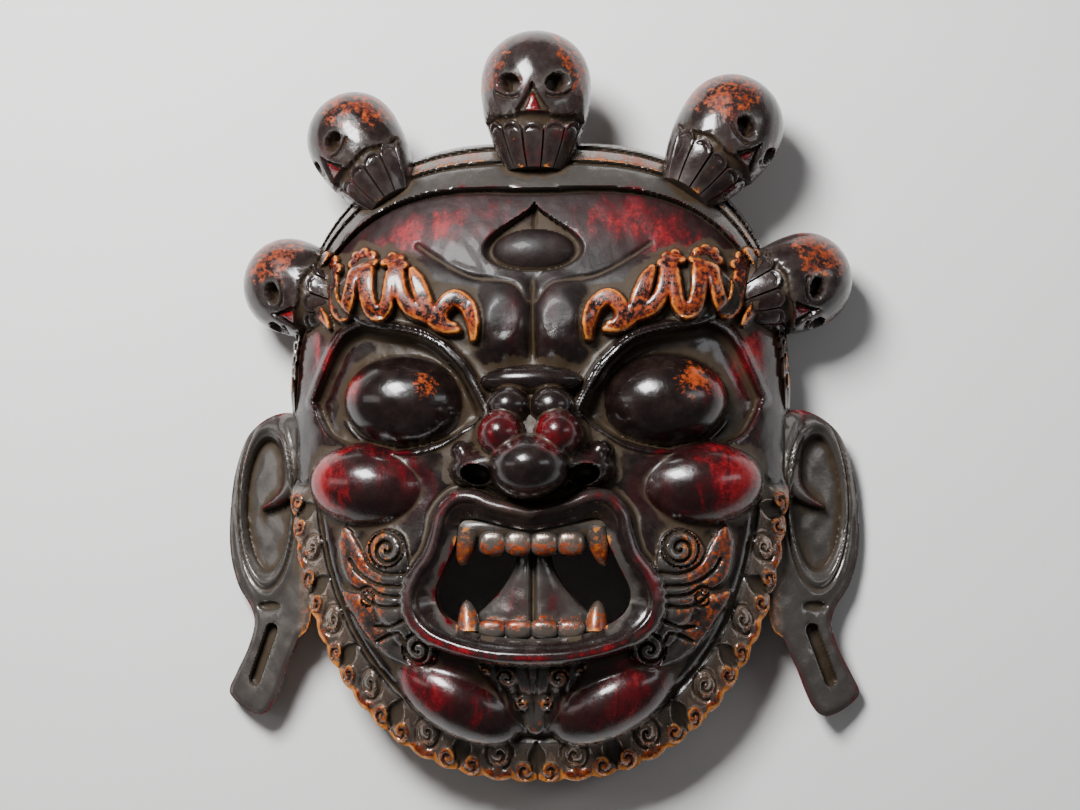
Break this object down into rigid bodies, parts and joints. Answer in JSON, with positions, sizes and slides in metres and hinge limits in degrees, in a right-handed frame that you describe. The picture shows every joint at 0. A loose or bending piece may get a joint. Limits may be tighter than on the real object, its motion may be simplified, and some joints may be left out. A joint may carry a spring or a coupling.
{
  "type": "carved ritual mask",
  "caption": "Carved and lacquered wooden mask of a wrathful guardian face with a skull crown, hollow behind, with a pierced mouth, large ears and a scrolled beard.",
  "frame": {"origin": "centre of the footprint on the plane of the back rim, which is the underside as the mask lies", "axes": "+X towards the viewer's right, +Y up the face towards the crown, +Z out of the face"},
  "size_m": [0.4824, 0.5624, 0.167],
  "materials": {
    "lacquered_wood": "dark lacquer worn to red and gold on the high places"
  },
  "bodies": {
    "root": {"bhairava_mask": "lacquered_wood"}
  },
  "joints": []
}
